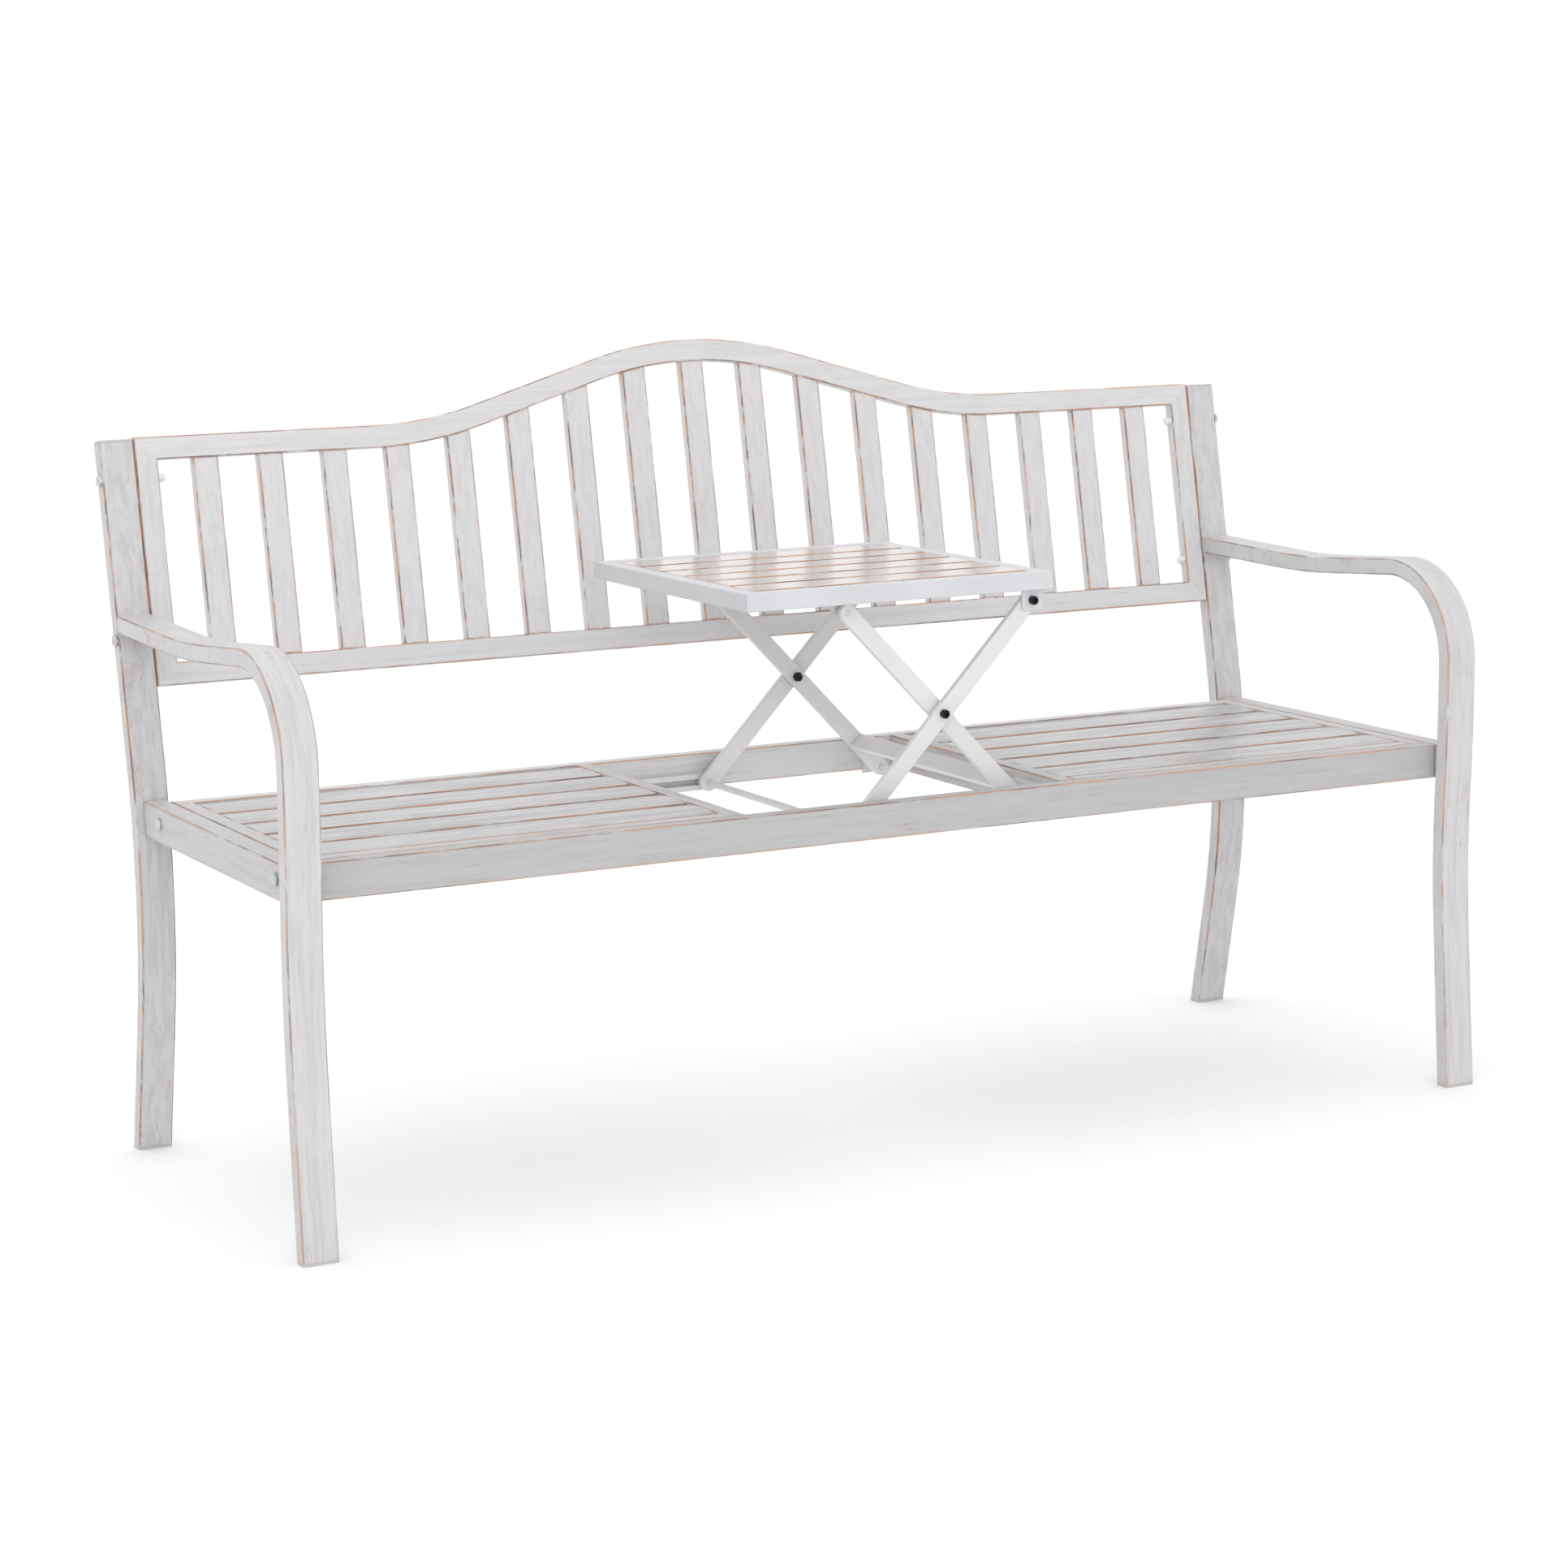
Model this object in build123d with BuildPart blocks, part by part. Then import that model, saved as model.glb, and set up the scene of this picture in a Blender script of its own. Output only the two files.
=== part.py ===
from build123d import *
import os
from math import atan2, cos, degrees, hypot, radians, sin, tan

os.makedirs("parts", exist_ok=True)

# Garden bench for three, with a table on scissor legs rising out of the middle of the seat.
# Millimetres. +X runs along the bench, -Y is the front, +Z is up, z = 0 is the ground.

# ---- legs and arms: bent rectangular tube ----
BENCH_WIDTH = 1500.0
LEG_WIDTH = 40.0
LEG_DEPTH = 20.0
LEG_WALL = 1.5
LEG_CORNER = 2.5
LEG_X = (BENCH_WIDTH - LEG_WIDTH) / 2
FOOT_CAP = 3.5
FRONT_FOOT_Y = -289.4
REAR_FOOT_Y = 244.8
POST_CAP = 3.0

# Centre-line of each bent tube as (y, z) corners with one bend radius per inner corner.
ARM_LEG_CORNERS = [
    (-290.2, -10.0),
    (-271.5, 276.5),
    (-280.3, 438.9),
    (-280.3, 627.6),
    (9.2, 604.8),
    (250.0, 610.7),
]
ARM_LEG_BENDS = [1400.0, 2200.0, 105.0, 1165.0]
REAR_POST_START = (247.35, -10.0)
REAR_POST_BEND_Z = 296.1
REAR_POST_BEND = 770.0

# ---- backrest: arched frame filled with upright slats, in one leaning plane ----
BACK_TILT = 10.6
BACK_FOOT_Y = 116.6
POST_TOP_Z = 815.0
BACK_TUBE = 26.0
BACK_DEPTH = 15.0
THIN_WALL = 1.0
BACK_HALF_WIDTH = 709.5
BACK_BOTTOM = 548.2
BACK_SHOULDER = 830.7
BACK_APEX = 915.6
ARCH_SLOPE = 16.5
ARCH_EDGE_RADIUS = 459.0
BACK_SLATS = 17
BACK_SLAT_PITCH = 78.3
BACK_SLAT_WIDTH = 30.0
BACK_SLAT_DEPTH = 12.0

# ---- seat ----
SEAT_TOP = 413.5
SEAT_TUBE_HEIGHT = 40.0
SEAT_TUBE_WIDTH = 20.0
SEAT_WALL = 1.5
SEAT_CORNER = 1.5
SEAT_HALF_LENGTH = 714.0
FRONT_RAIL_Y = -251.0
BACK_RAIL_Y = 167.0
DIVIDER_X = 212.0
SIDE_RAIL_X = 727.5
SIDE_RAIL_WIDTH = 25.0
SEAT_SLATS = 5
SEAT_SLAT_WIDTH = 66.0
SEAT_SLAT_PITCH = 74.0
SEAT_SLAT_FIRST_Y = -180.0
SEAT_SLAT_HEIGHT = 16.0
SEAT_SLAT_CROWN = 1.5
STRIP = 20.0

# ---- table ----
TABLE_HALF_LENGTH = 194.5
TABLE_FRONT_Y = -238.0
TABLE_BACK_Y = 154.0
TABLE_TOP = 653.5
TABLE_TUBE = 20.0
TABLE_SLATS = 6
TABLE_SLAT_WIDTH = 50.5
TABLE_SLAT_GAP = 7.0
TABLE_SLAT_HEIGHT = 10.0

# ---- scissor legs of the table, shown raised ----
LIFT_CENTRE_Y = -42.0
PIVOT_RIGHT_X = 172.0
PIVOT_LEFT_X = -58.0
PIVOT_LOW_Z = 380.5
PIVOT_HIGH_Z = 621.5
BAR_WIDTH = 20.0
BAR_THICKNESS = 8.0
BAR_A_Y = -223.0
BAR_B_Y = -213.0
PIN = 6.0
PIN_CLEARANCE = 0.1
AXLE = 8.0
CHANNEL_HEIGHT = 20.0
CHANNEL_DEPTH = 9.0
CHANNEL_WALL = 1.5
CHANNEL_SLOT = 7.0
ROLLER = 16.4
ROLLER_WIDTH = 5.4
TIE_FROM_PIVOT = 48.0
TIE_THICKNESS = 8.0
TIE_WALL = 1.5
SEAT_TRACK_X = (-180.0, -37.0)
TABLE_CHANNEL_X = (-174.5, -44.0)
TABLE_CHANNEL_WIDTH = 12.0
TABLE_CHANNEL_HEIGHT = 9.5
TABLE_CHANNEL_SLOT = 5.0
SHOE_Y = -202.0
SHOE_LENGTH = 18.0
SHOE_NECK = 4.0
SHOE_HEAD = (8.0, 5.6)
SHOE_HUB = 14.0
SPACER = 11.0
BRACKET_THICKNESS = 2.0
TABLE_BRACKET_X = (158.5, 186.5)
TABLE_BRACKET_Y = -229.3
TABLE_BRACKET_DROP = 11.5
SEAT_BRACKET_X = (162.0, 216.0)
SEAT_BRACKET_Z = (370.0, 396.0)

# ---- fasteners ----
BOLT = 6.0
BOLT_HEAD = 14.0
BOLT_HEAD_HEIGHT = 4.0
HOLE_CLEARANCE = 0.2
SIDE_BOLT_Y = (-233.5, 138.5)
SIDE_BOLT_Z = 396.0
BACK_BOLT_UP = (603.7, 784.2)
SOCKET_HEAD = 10.0
SOCKET_HEAD_HEIGHT = 5.0
NUT_ACROSS_FLATS = 10.0
NUT_HEIGHT = 4.5
NUT_DOME_RADIUS = 4.7
NUT_DOME_HEIGHT = 4.0

SIDES = {"left": -1, "right": 1}

# Leaning plane of the backrest's front face: local x along the bench, local y up the back.
BACK = Plane(
    origin=(0, BACK_FOOT_Y, 0),
    x_dir=(1, 0, 0),
    z_dir=(0, -cos(radians(BACK_TILT)), sin(radians(BACK_TILT))),
)
SEAT_MID_Z = SEAT_TOP - SEAT_TUBE_HEIGHT / 2
SEAT_FRONT_Y = FRONT_RAIL_Y + SEAT_TUBE_WIDTH / 2
SEAT_BACK_Y = BACK_RAIL_Y - SEAT_TUBE_WIDTH / 2
PANEL_INNER_X = DIVIDER_X + SEAT_TUBE_WIDTH / 2
PANEL_OUTER_X = SEAT_HALF_LENGTH - SEAT_TUBE_WIDTH
BOLT_HOLE = BOLT / 2 + HOLE_CLEARANCE
BACK_UP = Axis((0, 0, 0), BACK.y_dir)
POST_TUBE_END = POST_TOP_Z / cos(radians(BACK_TILT)) - POST_CAP
post_end = (BACK.location * Location((0, POST_TUBE_END, -LEG_DEPTH / 2))).position
REAR_POST_TOP = (post_end.Y, post_end.Z)
REAR_POST_CORNER = (
    post_end.Y - (post_end.Z - REAR_POST_BEND_Z) * tan(radians(BACK_TILT)),
    REAR_POST_BEND_Z,
)

# Slanted ends of the side rails, lying against the bent legs.
SIDE_RAIL_FRONT_END = Plane(origin=(0, -267.4, SEAT_MID_Z), z_dir=(0, 1, 0.054))
SIDE_RAIL_REAR_END = Plane(origin=(0, 192.0, SEAT_MID_Z), z_dir=(0, -1, 0.1125))

BAR_LENGTH = hypot(PIVOT_RIGHT_X - PIVOT_LEFT_X, PIVOT_HIGH_Z - PIVOT_LOW_Z)
BAR_ANGLE = degrees(atan2(PIVOT_HIGH_Z - PIVOT_LOW_Z, PIVOT_RIGHT_X - PIVOT_LEFT_X))
BAR_A_OUTER_Y = BAR_A_Y - BAR_THICKNESS / 2
BAR_A_INNER_Y = BAR_A_Y + BAR_THICKNESS / 2
BAR_B_OUTER_Y = BAR_B_Y - BAR_THICKNESS / 2
BAR_B_INNER_Y = BAR_B_Y + BAR_THICKNESS / 2
TABLE_CHANNEL_Z = TABLE_TOP - TABLE_SLAT_HEIGHT - TABLE_CHANNEL_HEIGHT / 2
LIFT_REAR_Y = 2 * LIFT_CENTRE_Y
PIVOT_MID_X = (PIVOT_RIGHT_X + PIVOT_LEFT_X) / 2
PIVOT_MID_Z = (PIVOT_LOW_Z + PIVOT_HIGH_Z) / 2
LIFT_MIRROR = Plane.XZ.offset(-LIFT_CENTRE_Y)


def save(piece, label):
    """Name a finished piece and write it to its own file."""
    piece.part.label = label
    export_step(piece.part, f"parts/{label}.step")


def tube_section(width, depth, wall, corner):
    """Hollow rectangular cross-section, drawn in the open sketch."""
    RectangleRounded(width, depth, corner)
    inner_corner = max(corner - wall, 0.4)
    RectangleRounded(width - 2 * wall, depth - 2 * wall, inner_corner, mode=Mode.SUBTRACT)


def straight_tube(start_plane, width, depth, length, wall, corner):
    """Length of rectangular tube standing on a plane."""
    with BuildPart() as tube:
        with BuildSketch(start_plane):
            tube_section(width, depth, wall, corner)
        extrude(amount=length)
    return tube


def across(x, y, z):
    """Plane facing along +X, with its local x along +Y."""
    return Plane(origin=(x, y, z), x_dir=(0, 1, 0), z_dir=(1, 0, 0))


def along_y(x, y, z):
    """Plane facing along +Y, with its local x along +X."""
    return Plane(origin=(x, y, z), x_dir=(1, 0, 0), z_dir=(0, 1, 0))


# ======================= legs and arms =======================

for side, sign in SIDES.items():
    leg_plane = Plane.YZ.offset(sign * LEG_X)
    back_bolt_places = [
        BACK.location * Location((sign * LEG_X, up, -BACK_DEPTH / 2)) for up in BACK_BOLT_UP
    ]

    with BuildPart() as arm_leg:
        with BuildLine(leg_plane) as arm_line:
            FilletPolyline(*ARM_LEG_CORNERS, radius=ARM_LEG_BENDS)
        with BuildSketch(Plane(origin=arm_line.line @ 0, x_dir=(1, 0, 0), z_dir=arm_line.line % 0)):
            tube_section(LEG_WIDTH, LEG_DEPTH, LEG_WALL, LEG_CORNER)
        sweep(path=arm_line.line)
        split(bisect_by=Plane.XY.offset(FOOT_CAP), keep=Keep.TOP)
        split(bisect_by=BACK, keep=Keep.TOP)
    save(arm_leg, f"{side}_arm_leg")

    with BuildPart() as rear_post:
        with BuildLine(leg_plane) as post_line:
            FilletPolyline(REAR_POST_START, REAR_POST_CORNER, REAR_POST_TOP, radius=REAR_POST_BEND)
        with BuildSketch(Plane(origin=post_line.line @ 0, x_dir=(1, 0, 0), z_dir=post_line.line % 0)):
            tube_section(LEG_WIDTH, LEG_DEPTH, LEG_WALL, LEG_CORNER)
        sweep(path=post_line.line)
        split(bisect_by=Plane.XY.offset(FOOT_CAP), keep=Keep.TOP)
        with Locations(*back_bolt_places):
            Cylinder(BOLT_HOLE, LEG_WIDTH + 2, rotation=(0, 90, 0), mode=Mode.SUBTRACT)
    save(rear_post, f"{side}_rear_post")

    with BuildPart() as side_rail:
        with BuildSketch(along_y(sign * SIDE_RAIL_X, -300, SEAT_MID_Z)):
            tube_section(SIDE_RAIL_WIDTH, SEAT_TUBE_HEIGHT, SEAT_WALL, SEAT_CORNER)
        extrude(amount=600)
        split(bisect_by=SIDE_RAIL_FRONT_END, keep=Keep.TOP)
        split(bisect_by=SIDE_RAIL_REAR_END, keep=Keep.TOP)
        with Locations(*[(sign * SIDE_RAIL_X, y, SIDE_BOLT_Z) for y in SIDE_BOLT_Y]):
            Cylinder(BOLT_HOLE, SIDE_RAIL_WIDTH + 2, rotation=(0, 90, 0), mode=Mode.SUBTRACT)
    save(side_rail, f"{side}_side_rail")

# Pads closing the four feet and the two post tops.
with BuildPart() as foot_caps:
    for sign in SIDES.values():
        for foot_y in (FRONT_FOOT_Y, REAR_FOOT_Y):
            with BuildSketch(Plane.XY):
                with Locations((sign * LEG_X, foot_y)):
                    RectangleRounded(LEG_WIDTH, LEG_DEPTH + 0.6, LEG_CORNER)
            extrude(amount=FOOT_CAP)
save(foot_caps, "foot_caps")

with BuildPart() as post_caps:
    with BuildSketch(BACK):
        with Locations(*[(sign * LEG_X, POST_TUBE_END + POST_CAP / 2) for sign in SIDES.values()]):
            Rectangle(LEG_WIDTH, POST_CAP)
    extrude(amount=-LEG_DEPTH)
    fillet(post_caps.edges().filter_by(BACK_UP), LEG_CORNER)
    fillet(post_caps.faces().sort_by(BACK_UP)[-2:].edges(), 1.0)
save(post_caps, "post_caps")

# ======================= backrest =======================

ARCH_TAN = tan(radians(ARCH_SLOPE))
ARCH_COS = cos(radians(ARCH_SLOPE))


def arch_line(drop):
    """Top rail's run, held a given distance below its upper edge all the way along."""
    side_radius = ARCH_EDGE_RADIUS + drop
    apex_radius = ARCH_EDGE_RADIUS - drop
    level = BACK_SHOULDER - drop
    peak = BACK_APEX - drop + apex_radius * (1 / ARCH_COS - 1)
    shoulder_x = (peak - level) / ARCH_TAN
    return FilletPolyline(
        (-BACK_HALF_WIDTH, level),
        (-shoulder_x, level),
        (0, peak),
        (shoulder_x, level),
        (BACK_HALF_WIDTH, level),
        radius=[side_radius, apex_radius, side_radius],
    )


def mitre(x, up, angle):
    """Plane square to the backrest through one of its corners, its normal at an angle in it."""
    corner = (BACK.location * Location((x, up, 0))).position
    normal = BACK.x_dir * cos(radians(angle)) + BACK.y_dir * sin(radians(angle))
    return Plane(origin=corner, z_dir=normal)


with BuildPart() as back_top_rail:
    with BuildLine(BACK.offset(-BACK_DEPTH / 2)) as arch:
        arch_line(BACK_TUBE / 2)
    with BuildSketch(Plane(origin=arch.line @ 0, x_dir=BACK.z_dir, z_dir=arch.line % 0)):
        tube_section(BACK_DEPTH, BACK_TUBE, THIN_WALL, 2.0)
    sweep(path=arch.line)
    split(bisect_by=mitre(-BACK_HALF_WIDTH, BACK_SHOULDER, 45), keep=Keep.TOP)
    split(bisect_by=mitre(BACK_HALF_WIDTH, BACK_SHOULDER, 135), keep=Keep.TOP)
save(back_top_rail, "back_top_rail")

with BuildPart() as back_bottom_rail:
    bottom_start = BACK.location * Location((-BACK_HALF_WIDTH, BACK_BOTTOM + BACK_TUBE / 2, -BACK_DEPTH / 2))
    with BuildSketch(Plane(origin=bottom_start.position, x_dir=BACK.z_dir, z_dir=(1, 0, 0))):
        tube_section(BACK_DEPTH, BACK_TUBE, THIN_WALL, 2.0)
    extrude(amount=2 * BACK_HALF_WIDTH)
    split(bisect_by=mitre(-BACK_HALF_WIDTH, BACK_BOTTOM, -45), keep=Keep.TOP)
    split(bisect_by=mitre(BACK_HALF_WIDTH, BACK_BOTTOM, 225), keep=Keep.TOP)
save(back_bottom_rail, "back_bottom_rail")

for side, sign in SIDES.items():
    stile_x = sign * (BACK_HALF_WIDTH - BACK_TUBE / 2)
    lean = 45 * sign
    with BuildPart() as back_stile:
        stile_start = BACK.location * Location((stile_x, BACK_BOTTOM, -BACK_DEPTH / 2))
        with BuildSketch(Plane(origin=stile_start.position, x_dir=(1, 0, 0), z_dir=BACK.y_dir)):
            tube_section(BACK_TUBE, BACK_DEPTH, THIN_WALL, 2.0)
        extrude(amount=BACK_SHOULDER - BACK_BOTTOM)
        split(bisect_by=mitre(sign * BACK_HALF_WIDTH, BACK_BOTTOM, 90 - lean), keep=Keep.TOP)
        split(bisect_by=mitre(sign * BACK_HALF_WIDTH, BACK_SHOULDER, -90 + lean), keep=Keep.TOP)
        with Locations(*[BACK.location * Location((stile_x, up, -BACK_DEPTH / 2)) for up in BACK_BOLT_UP]):
            Cylinder(BOLT_HOLE, BACK_TUBE + 2, rotation=(0, 90, 0), mode=Mode.SUBTRACT)
    save(back_stile, f"back_{side}_stile")

# Upright slats, cut off along the underside of the arch.
slat_low = BACK_BOTTOM + BACK_TUBE
slat_setback = (BACK_DEPTH - BACK_SLAT_DEPTH) / 2
with BuildPart() as back_slats:
    with BuildSketch(BACK.offset(-slat_setback)):
        with Locations((0, (slat_low + BACK_APEX) / 2)):
            with GridLocations(BACK_SLAT_PITCH, 0, BACK_SLATS, 1):
                Rectangle(BACK_SLAT_WIDTH, BACK_APEX - slat_low)
        with BuildLine():
            underside = arch_line(BACK_TUBE)
            Polyline(underside @ 0, (-BACK_HALF_WIDTH, slat_low), (BACK_HALF_WIDTH, slat_low), underside @ 1)
        make_face(mode=Mode.INTERSECT)
    extrude(amount=-BACK_SLAT_DEPTH)
    fillet(back_slats.edges().filter_by(BACK_UP), 1.5)
    with BuildSketch(BACK.offset(-slat_setback - THIN_WALL)):
        with Locations((0, (slat_low + BACK_APEX) / 2)):
            with GridLocations(BACK_SLAT_PITCH, 0, BACK_SLATS, 1):
                Rectangle(BACK_SLAT_WIDTH - 2 * THIN_WALL, BACK_APEX - slat_low)
    extrude(amount=2 * THIN_WALL - BACK_SLAT_DEPTH, mode=Mode.SUBTRACT)
save(back_slats, "back_slats")

# ======================= seat =======================

for label, rail_y in (("seat_front_rail", FRONT_RAIL_Y), ("seat_back_rail", BACK_RAIL_Y)):
    seat_rail = straight_tube(
        across(-SEAT_HALF_LENGTH, rail_y, SEAT_MID_Z),
        SEAT_TUBE_WIDTH, SEAT_TUBE_HEIGHT, 2 * SEAT_HALF_LENGTH, SEAT_WALL, SEAT_CORNER,
    )
    save(seat_rail, label)

for side, sign in SIDES.items():
    end_x = sign * (SEAT_HALF_LENGTH - SEAT_TUBE_WIDTH / 2)
    with BuildPart() as seat_end:
        with BuildSketch(along_y(end_x, SEAT_FRONT_Y, SEAT_MID_Z)):
            tube_section(SEAT_TUBE_WIDTH, SEAT_TUBE_HEIGHT, SEAT_WALL, SEAT_CORNER)
        extrude(amount=SEAT_BACK_Y - SEAT_FRONT_Y)
        with Locations(*[(end_x + sign * SEAT_TUBE_WIDTH / 2, y, SIDE_BOLT_Z) for y in SIDE_BOLT_Y]):
            Cylinder(BOLT_HOLE, 2 * SEAT_TUBE_WIDTH - 6, rotation=(0, 90, 0), mode=Mode.SUBTRACT)
    save(seat_end, f"seat_{side}_end")

    divider = straight_tube(
        along_y(sign * DIVIDER_X, SEAT_FRONT_Y, SEAT_MID_Z),
        SEAT_TUBE_WIDTH, SEAT_TUBE_HEIGHT, SEAT_BACK_Y - SEAT_FRONT_Y, SEAT_WALL, SEAT_CORNER,
    )
    save(divider, f"seat_{side}_divider")

    for number in range(SEAT_SLATS):
        slat_y = SEAT_SLAT_FIRST_Y + number * SEAT_SLAT_PITCH
        panel_start = min(sign * PANEL_INNER_X, sign * PANEL_OUTER_X)
        with BuildPart() as seat_slat:
            with BuildSketch(across(panel_start, slat_y, SEAT_TOP)) as slat_profile:
                with BuildLine():
                    crown = ThreePointArc(
                        (-SEAT_SLAT_WIDTH / 2, -SEAT_SLAT_CROWN),
                        (0, 0),
                        (SEAT_SLAT_WIDTH / 2, -SEAT_SLAT_CROWN),
                    )
                    Polyline(
                        crown @ 0,
                        (-SEAT_SLAT_WIDTH / 2, -SEAT_SLAT_HEIGHT),
                        (SEAT_SLAT_WIDTH / 2, -SEAT_SLAT_HEIGHT),
                        crown @ 1,
                    )
                make_face()
                fillet(slat_profile.vertices(), SEAT_CORNER)
                with Locations((0, -(SEAT_SLAT_HEIGHT + SEAT_SLAT_CROWN) / 2)):
                    Rectangle(
                        SEAT_SLAT_WIDTH - 2 * THIN_WALL,
                        SEAT_SLAT_HEIGHT - SEAT_SLAT_CROWN - 2 * THIN_WALL,
                        mode=Mode.SUBTRACT,
                    )
            extrude(amount=PANEL_OUTER_X - PANEL_INNER_X)
        save(seat_slat, f"seat_{side}_slat_{number + 1}")

with BuildPart() as seat_front_strips:
    for sign in SIDES.values():
        panel_start = min(sign * PANEL_INNER_X, sign * PANEL_OUTER_X)
        with BuildSketch(across(panel_start, SEAT_FRONT_Y + STRIP / 2, SEAT_TOP - STRIP / 2)):
            tube_section(STRIP, STRIP, THIN_WALL, SEAT_CORNER)
        extrude(amount=PANEL_OUTER_X - PANEL_INNER_X)
save(seat_front_strips, "seat_front_strips")

# ======================= table =======================

table_rail_z = TABLE_TOP - TABLE_TUBE / 2
table_inner_x = TABLE_HALF_LENGTH - TABLE_TUBE
table_inner_y = TABLE_FRONT_Y + TABLE_TUBE



def corner_cut(x, y, toward_x, toward_y):
    """Upright 45 degree plane through a corner of the table, facing the side that is kept."""
    return Plane(origin=(x, y, 0), z_dir=(toward_x, toward_y, 0))


for label, outer_y, inward in (
    ("table_front_rail", TABLE_FRONT_Y, 1),
    ("table_back_rail", TABLE_BACK_Y, -1),
):
    with BuildPart() as table_rail:
        rail_y = outer_y + inward * TABLE_TUBE / 2
        with BuildSketch(across(-TABLE_HALF_LENGTH, rail_y, table_rail_z)):
            tube_section(TABLE_TUBE, TABLE_TUBE, THIN_WALL, SEAT_CORNER)
        extrude(amount=2 * TABLE_HALF_LENGTH)
        split(bisect_by=corner_cut(-TABLE_HALF_LENGTH, outer_y, 1, -inward), keep=Keep.TOP)
        split(bisect_by=corner_cut(TABLE_HALF_LENGTH, outer_y, -1, -inward), keep=Keep.TOP)
    save(table_rail, label)

for side, sign in SIDES.items():
    with BuildPart() as table_end:
        end_x = sign * (TABLE_HALF_LENGTH - TABLE_TUBE / 2)
        with BuildSketch(along_y(end_x, TABLE_FRONT_Y, table_rail_z)):
            tube_section(TABLE_TUBE, TABLE_TUBE, THIN_WALL, SEAT_CORNER)
        extrude(amount=TABLE_BACK_Y - TABLE_FRONT_Y)
        split(bisect_by=corner_cut(sign * TABLE_HALF_LENGTH, TABLE_FRONT_Y, sign, 1), keep=Keep.TOP)
        split(bisect_by=corner_cut(sign * TABLE_HALF_LENGTH, TABLE_BACK_Y, sign, -1), keep=Keep.TOP)
    save(table_end, f"table_{side}_end")

for number in range(TABLE_SLATS):
    slat_y = table_inner_y + TABLE_SLAT_GAP + TABLE_SLAT_WIDTH / 2
    slat_y += number * (TABLE_SLAT_WIDTH + TABLE_SLAT_GAP)
    table_slat = straight_tube(
        across(-table_inner_x, slat_y, TABLE_TOP - TABLE_SLAT_HEIGHT / 2),
        TABLE_SLAT_WIDTH, TABLE_SLAT_HEIGHT, 2 * table_inner_x, THIN_WALL, SEAT_CORNER,
    )
    save(table_slat, f"table_slat_{number + 1}")

# ======================= scissor lift =======================


def upright(y):
    """Plane across the bench at a given y, with its local y pointing up."""
    return Plane.XZ.offset(-y)


def rod(x, z, start_y, end_y, diameter, mode=Mode.ADD):
    """Round rod or bore running front to back, in the open part."""
    with Locations((x, (start_y + end_y) / 2, z)):
        Cylinder(diameter / 2, abs(end_y - start_y), rotation=(90, 0, 0), mode=mode)


def front_and_rear(front):
    """A front piece of the lift together with its mirror image at the back."""
    with BuildPart() as pair:
        add(front.part)
        mirror(about=LIFT_MIRROR)
    return pair


def rear_of(front):
    """The mirror image, at the back, of a front piece of the lift."""
    with BuildPart() as rear:
        add(front.part)
        mirror(about=LIFT_MIRROR, mode=Mode.REPLACE)
    return rear


def channel(plane, depth, height, slot, length):
    """C-channel standing on a plane, slotted through its wall on the local +x side."""
    with BuildPart() as track:
        with BuildSketch(plane):
            Rectangle(depth, height)
            Rectangle(depth - 2 * CHANNEL_WALL, height - 2 * CHANNEL_WALL, mode=Mode.SUBTRACT)
            with Locations(((depth - CHANNEL_WALL) / 2, 0)):
                Rectangle(CHANNEL_WALL, slot, mode=Mode.SUBTRACT)
        extrude(amount=length)
    return track


def flat_bar(y, angle, ends):
    """Round-ended bar of the scissors with a bore at each end and in the middle."""
    with BuildPart() as bar:
        with BuildSketch(upright(y)):
            with Locations((PIVOT_MID_X, PIVOT_MID_Z)):
                SlotCenterToCenter(BAR_LENGTH, BAR_WIDTH, rotation=angle)
            with Locations((PIVOT_MID_X, PIVOT_MID_Z), *ends):
                Circle(PIN / 2 + PIN_CLEARANCE, mode=Mode.SUBTRACT)
        extrude(amount=BAR_THICKNESS / 2, both=True)
        chamfer(bar.faces().filter_by(Axis.Y).edges().filter_by(GeomType.LINE), 0.6)
    return bar


def roller(x, z, y):
    """Plain wheel turning on a pin."""
    with BuildPart() as wheel:
        rod(x, z, y - ROLLER_WIDTH / 2, y + ROLLER_WIDTH / 2, ROLLER)
        rod(x, z, y - ROLLER_WIDTH, y + ROLLER_WIDTH, PIN + 2 * PIN_CLEARANCE, Mode.SUBTRACT)
    return wheel


def socket_bolt(x, z, head_y, end_y):
    """Socket-head bolt put in from the front: head face at head_y, tip at end_y."""
    with BuildPart() as bolt:
        rod(x, z, head_y, head_y + SOCKET_HEAD_HEIGHT, SOCKET_HEAD)
        rod(x, z, head_y + SOCKET_HEAD_HEIGHT, end_y, PIN)
        with BuildSketch(upright(head_y)):
            with Locations((x, z)):
                RegularPolygon(SOCKET_HEAD / 4, 6, major_radius=False)
        extrude(amount=-SOCKET_HEAD_HEIGHT / 2, mode=Mode.SUBTRACT)
    return bolt


# Fixed to the seat: the tracks of the lower rollers and the brackets of bars B.
seat_track = channel(
    across(SEAT_TRACK_X[0], SEAT_FRONT_Y + CHANNEL_DEPTH / 2, PIVOT_LOW_Z),
    CHANNEL_DEPTH, CHANNEL_HEIGHT, CHANNEL_SLOT, SEAT_TRACK_X[1] - SEAT_TRACK_X[0],
)
save(front_and_rear(seat_track), "seat_tracks")

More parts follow.
